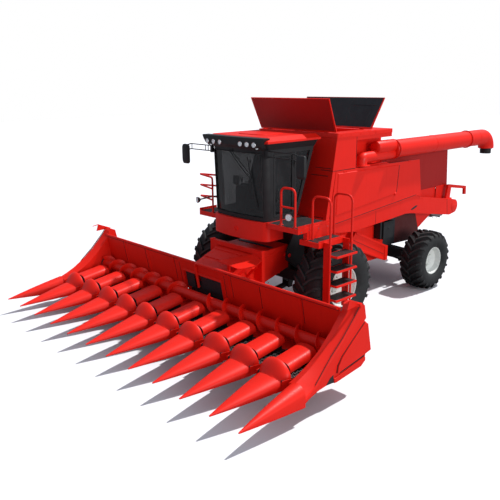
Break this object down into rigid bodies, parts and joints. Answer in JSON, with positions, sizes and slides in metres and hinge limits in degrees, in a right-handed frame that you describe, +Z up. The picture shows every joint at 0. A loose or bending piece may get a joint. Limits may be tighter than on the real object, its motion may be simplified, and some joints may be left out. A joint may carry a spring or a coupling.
{
  "type": "combine harvester",
  "caption": "Red combine harvester with a corn head, open grain tank covers, a folded-back unloading auger, left ladder and glazed cab, on lugged tyres",
  "frame": {"origin": "middle of the machine's footprint box, on the ground", "axes": "+X forwards, the way it drives, +Y to its left, +Z up"},
  "size_m": [12.7518, 8.746, 4.9505],
  "materials": {
    "red_paint": "Glossy red enamel on sheet steel, a little dusty",
    "dark_red_paint": "Deeper red enamel on shaded and inner sheets",
    "rim_white": "Off-white enamel on pressed wheel discs",
    "frame_black": "Satin black chassis paint",
    "deck_black": "Black wear plates, lightly scuffed",
    "tyre_rubber": "Dark grey tyre rubber with dry dust in the tread",
    "cab_trim": "Fine-grained black plastic",
    "glass_tint": "Lightly tinted safety glass",
    "bright_steel": "Polished plated rod",
    "worn_steel": "Crop-polished bare steel",
    "seat_fabric": "Dark grey woven seat cloth",
    "boot_rubber": "Black moulded rubber",
    "lamp_glass": "Clear lamp lens over a bright reflector"
  },
  "bodies": {
    "chassis": {"main_frame": "frame_black", "front_axle": "frame_black", "rear_axle": "frame_black", "separator_housing": "red_paint", "grain_tank": "red_paint", "rear_hood": "dark_red_paint", "engine_block": "frame_black", "tail_housing": "red_paint", "elevator": "dark_red_paint", "battery_box": "cab_trim", "cab_shell": "cab_trim", "cab_fascia": "cab_trim", "cab_roof": "red_paint", "cab_windows": "glass_tint", "cab_seat": "seat_fabric", "cab_controls": "cab_trim", "cab_skirt": "red_paint", "platforms": "red_paint", "ladder": "red_paint", "handrails": "red_paint", "mirrors": "cab_trim", "lamps": "lamp_glass", "unload_turret": "red_paint", "spreader_carrier": "frame_black"},
    "cab_door": {"door_frame": "cab_trim", "door_glass": "glass_tint"},
    "tank_front_cover": {"front_cover": "red_paint"},
    "tank_rear_cover": {"rear_cover": "red_paint"},
    "left_shield": {"side_shield_left": "red_paint"},
    "right_shield": {"side_shield_right": "red_paint"},
    "unloader": {"unload_tube": "red_paint", "unload_spout": "boot_rubber"},
    "feeder": {"feeder_house": "dark_red_paint", "header_frame": "red_paint", "row_decks": "deck_black", "snouts": "red_paint", "row_hoods": "red_paint", "end_shields": "red_paint"},
    "auger": {"cross_auger": "worn_steel"},
    "lift_barrel_pair": {"lift_barrels": "frame_black"},
    "lift_rod_pair": {"lift_rods": "bright_steel"},
    "steer_left": {"knuckle_left": "frame_black"},
    "steer_right": {"knuckle_right": "frame_black"},
    "steer_tie": {"tie_rod": "frame_black"},
    "disc_left": {"spreader_left": "worn_steel"},
    "disc_right": {"spreader_right": "worn_steel"},
    "wheel_front_left": {"tyre_front_left": "tyre_rubber", "rim_front_left": "rim_white"},
    "wheel_front_right": {"tyre_front_right": "tyre_rubber", "rim_front_right": "rim_white"},
    "wheel_rear_left": {"tyre_rear_left": "tyre_rubber", "rim_rear_left": "rim_white"},
    "wheel_rear_right": {"tyre_rear_right": "tyre_rubber", "rim_rear_right": "rim_white"}
  },
  "joints": [
    {"name": "wheel_front_left_turn", "type": "hinge", "parent": "chassis", "child": "wheel_front_left", "pos_m": [1.436, 1.725, 0.973], "axis": [0, 1, 0], "continuous": true},
    {"name": "wheel_front_right_turn", "type": "hinge", "parent": "chassis", "child": "wheel_front_right", "pos_m": [1.436, -1.725, 0.973], "axis": [0, 1, 0], "continuous": true},
    {"name": "steer_left_turn", "type": "hinge", "parent": "chassis", "child": "steer_left", "pos_m": [-2.404, 1.13, 0.767], "axis": [0, 0, 1], "range_deg": [-35, 35]},
    {"name": "steer_right_turn", "type": "hinge", "parent": "chassis", "child": "steer_right", "pos_m": [-2.404, -1.13, 0.767], "axis": [0, 0, 1], "range_deg": [-35, 35]},
    {"name": "steer_tie_turn", "type": "hinge", "parent": "steer_left", "child": "steer_tie", "pos_m": [-2.074, 1.13, 0.747], "axis": [0, 0, 1], "range_deg": [-35, 35]},
    {"name": "wheel_rear_left_turn", "type": "hinge", "parent": "steer_left", "child": "wheel_rear_left", "pos_m": [-2.404, 1.66, 0.767], "axis": [0, 1, 0], "continuous": true},
    {"name": "wheel_rear_right_turn", "type": "hinge", "parent": "steer_right", "child": "wheel_rear_right", "pos_m": [-2.404, -1.66, 0.767], "axis": [0, 1, 0], "continuous": true},
    {"name": "feeder_lift", "type": "hinge", "parent": "chassis", "child": "feeder", "pos_m": [1.781, 0, 1.5], "axis": [0, -1, 0], "range_deg": [-3.5, 10]},
    {"name": "auger_turn", "type": "hinge", "parent": "feeder", "child": "auger", "pos_m": [3.886, 0, 0.835], "axis": [0, 1, 0], "continuous": true},
    {"name": "lift_barrel_tilt", "type": "hinge", "parent": "chassis", "child": "lift_barrel_pair", "pos_m": [1.526, 0, 0.7], "axis": [0, -1, 0], "range_deg": [-3.6, 9.2]},
    {"name": "lift_rod_slide", "type": "slide", "parent": "lift_barrel_pair", "child": "lift_rod_pair", "axis": [0.9947, 0, -0.1024], "range_m": [-0.055, 0.15]},
    {"name": "unloader_swing", "type": "hinge", "parent": "chassis", "child": "unloader", "pos_m": [-0.184, 1.2, 3.44], "axis": [0, 0, -1], "range_deg": [0, 100]},
    {"name": "front_cover_fold", "type": "hinge", "parent": "chassis", "child": "tank_front_cover", "pos_m": [0.768, 0, 4.216], "axis": [0, -1, 0], "range_deg": [0, 108]},
    {"name": "rear_cover_fold", "type": "hinge", "parent": "chassis", "child": "tank_rear_cover", "pos_m": [-0.514, 0, 4.216], "axis": [0, 1, 0], "range_deg": [0, 121]},
    {"name": "left_shield_lift", "type": "hinge", "parent": "chassis", "child": "left_shield", "pos_m": [-0.864, 1.25, 3.36], "axis": [1, 0, 0], "range_deg": [0, 65]},
    {"name": "right_shield_lift", "type": "hinge", "parent": "chassis", "child": "right_shield", "pos_m": [-0.864, -1.25, 3.36], "axis": [-1, 0, 0], "range_deg": [0, 65]},
    {"name": "cab_door_swing", "type": "hinge", "parent": "chassis", "child": "cab_door", "pos_m": [1.77, 0.867, 3.15], "axis": [0, 0, 1], "range_deg": [0, 60]},
    {"name": "disc_left_turn", "type": "hinge", "parent": "chassis", "child": "disc_left", "pos_m": [-4.554, 0.48, 1.47], "axis": [0, 0, 1], "continuous": true},
    {"name": "disc_right_turn", "type": "hinge", "parent": "chassis", "child": "disc_right", "pos_m": [-4.554, -0.48, 1.47], "axis": [0, 0, 1], "continuous": true}
  ],
  "couplings": [
    {"joint": "steer_right_turn", "follows": "steer_left_turn", "ratio": 1},
    {"joint": "steer_tie_turn", "follows": "steer_left_turn", "ratio": -1},
    {"joint": "lift_barrel_tilt", "follows": "feeder_lift", "ratio": 0.88},
    {"joint": "lift_rod_slide", "follows": "feeder_lift", "m_per_rad": 0.818},
    {"joint": "disc_right_turn", "follows": "disc_left_turn", "ratio": -1}
  ]
}
